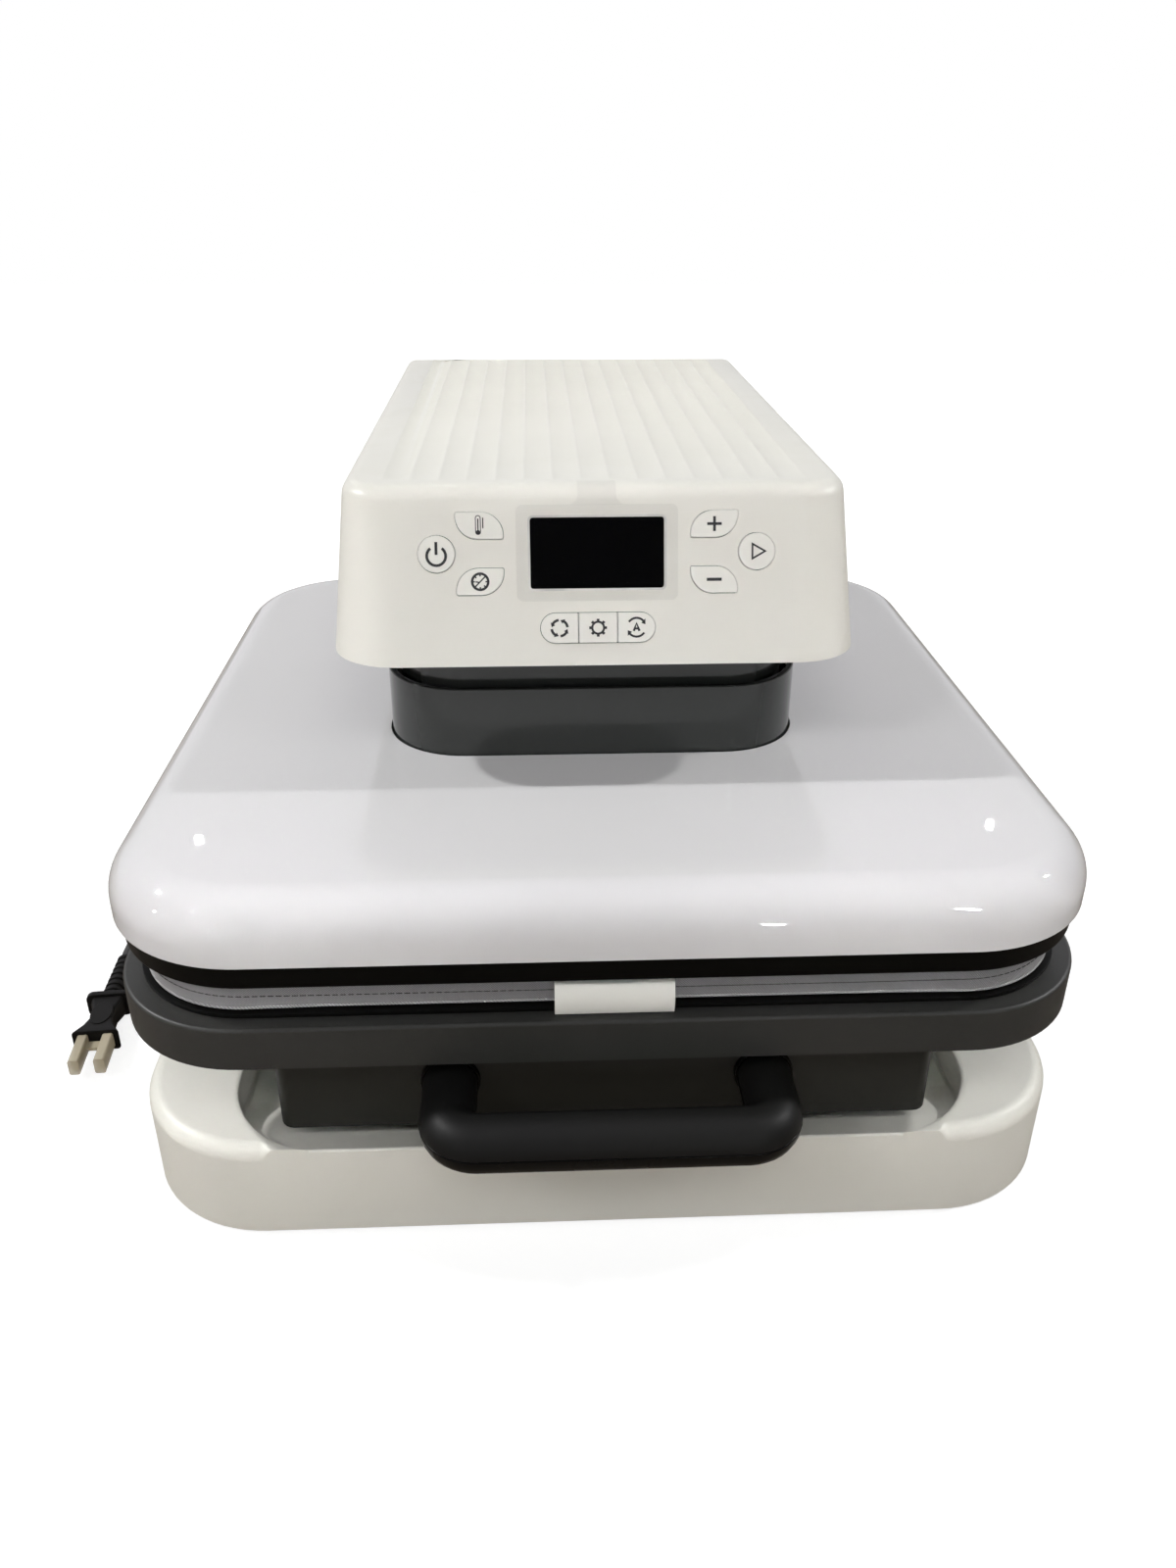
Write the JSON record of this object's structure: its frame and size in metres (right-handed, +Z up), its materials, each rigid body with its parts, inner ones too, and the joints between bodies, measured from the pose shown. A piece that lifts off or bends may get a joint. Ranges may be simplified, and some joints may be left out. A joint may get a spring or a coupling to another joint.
{
  "type": "heat press",
  "caption": "Free-standing craft heat press: drawer platen with a cloth pad, square heat plate under a glossy cover lifted by a screw, ribbed control head on a rear column, mains lead and plug.",
  "frame": {"origin": "on the table under the middle of the machine, without its lead", "axes": "+Z up, the drawer and control panel face -Y, +X to the right as seen from the front"},
  "size_m": [0.4886, 0.6617, 0.2975],
  "materials": {
    "shell_white": "satin",
    "cover_white": "gloss",
    "key_white": "satin",
    "neck_grey": "gloss",
    "platen_grey": "matt",
    "carriage_black": "matt",
    "handle_black": "satin",
    "trim_black": "satin",
    "pad_cloth": "twill",
    "tag_satin": "satin weave",
    "pad_black": "matt",
    "display_black": "gloss",
    "film_clear": "clear film",
    "steel": "plain",
    "frame_steel": "painted",
    "plate_coated": "non-stick coating",
    "brass": "plain",
    "board_green": "circuit board",
    "insulation": "fibre board",
    "rubber_black": "matt",
    "cord_black": "satin",
    "plug_black": "satin",
    "sleeve_milky": "milky"
  },
  "bodies": {
    "base": {"base_shell": "shell_white", "base_plate": "frame_steel", "rubber_feet": "rubber_black", "base_screws": "steel", "c_frame": "frame_steel", "column_cover": "shell_white", "head_housing": "shell_white", "head_underside": "carriage_black", "upper_shroud": "neck_grey", "display_window": "display_black", "display_film": "film_clear", "lcd_module": "board_green", "control_board": "board_green", "key_switches": "carriage_black", "power_board": "board_green", "motor": "steel", "gearbox": "steel", "screw_bearing": "steel", "guide_bushes": "brass", "slide_rails": "steel", "cord_gland": "rubber_black", "cord_lead": "cord_black", "cord_coil": "cord_black", "cord_tail": "cord_black", "plug_body": "plug_black", "plug_blades": "brass", "blade_sleeve": "sleeve_milky"},
    "press": {"press_cover": "cover_white", "cover_trim": "trim_black", "lower_shroud": "neck_grey", "yoke": "frame_steel", "guide_rods": "steel", "drive_nut": "brass", "insulation_board": "insulation", "heat_plate": "plate_coated", "heating_element": "steel", "thermostat": "steel"},
    "screw": {"drive_screw": "steel"},
    "platen": {"platen_tray": "platen_grey", "platen_plate": "steel", "carriage_box": "carriage_black", "slide_runners": "steel", "handle_upper": "handle_black", "handle_lower": "handle_black", "handle_collars": "trim_black", "handle_screws": "steel", "pad_base": "pad_black", "press_pad": "pad_cloth", "pad_tag": "tag_satin"},
    "power": {"power_key": "key_white"},
    "start": {"start_key": "key_white"},
    "temperature": {"temperature_key": "key_white"},
    "timer": {"timer_key": "key_white"},
    "plus": {"plus_key": "key_white"},
    "minus": {"minus_key": "key_white"},
    "mode": {"mode_key": "key_white"},
    "settings": {"settings_key": "key_white"},
    "auto": {"auto_key": "key_white"}
  },
  "joints": [
    {"name": "platen_slide", "type": "slide", "parent": "base", "child": "platen", "axis": [0, -1, 0], "range_m": [0, 0.2]},
    {"name": "press_lift", "type": "slide", "parent": "base", "child": "press", "axis": [0, 0, 1], "range_m": [0, 0.018]},
    {"name": "screw_spin", "type": "hinge", "parent": "base", "child": "screw", "pos_m": [0, -0.02, 0.24], "axis": [0, 0, 1], "range_deg": [-5, 815]},
    {"name": "power_press", "type": "slide", "parent": "base", "child": "power", "axis": [0, 0.9461, -0.3239], "range_m": [0, 0.001], "stiffness_N_per_m": 600},
    {"name": "start_press", "type": "slide", "parent": "base", "child": "start", "axis": [0, 0.9461, -0.3239], "range_m": [0, 0.001], "stiffness_N_per_m": 600},
    {"name": "temperature_press", "type": "slide", "parent": "base", "child": "temperature", "axis": [0, 0.9461, -0.3239], "range_m": [0, 0.001], "stiffness_N_per_m": 600},
    {"name": "timer_press", "type": "slide", "parent": "base", "child": "timer", "axis": [0, 0.9461, -0.3239], "range_m": [0, 0.001], "stiffness_N_per_m": 600},
    {"name": "plus_press", "type": "slide", "parent": "base", "child": "plus", "axis": [0, 0.9461, -0.3239], "range_m": [0, 0.001], "stiffness_N_per_m": 600},
    {"name": "minus_press", "type": "slide", "parent": "base", "child": "minus", "axis": [0, 0.9461, -0.3239], "range_m": [0, 0.001], "stiffness_N_per_m": 600},
    {"name": "mode_press", "type": "slide", "parent": "base", "child": "mode", "axis": [0, 0.9461, -0.3239], "range_m": [0, 0.001], "stiffness_N_per_m": 600},
    {"name": "settings_press", "type": "slide", "parent": "base", "child": "settings", "axis": [0, 0.9461, -0.3239], "range_m": [0, 0.001], "stiffness_N_per_m": 600},
    {"name": "auto_press", "type": "slide", "parent": "base", "child": "auto", "axis": [0, 0.9461, -0.3239], "range_m": [0, 0.001], "stiffness_N_per_m": 600}
  ],
  "couplings": [
    {"joint": "screw_spin", "follows": "press_lift", "rad_per_m": 785.4}
  ]
}
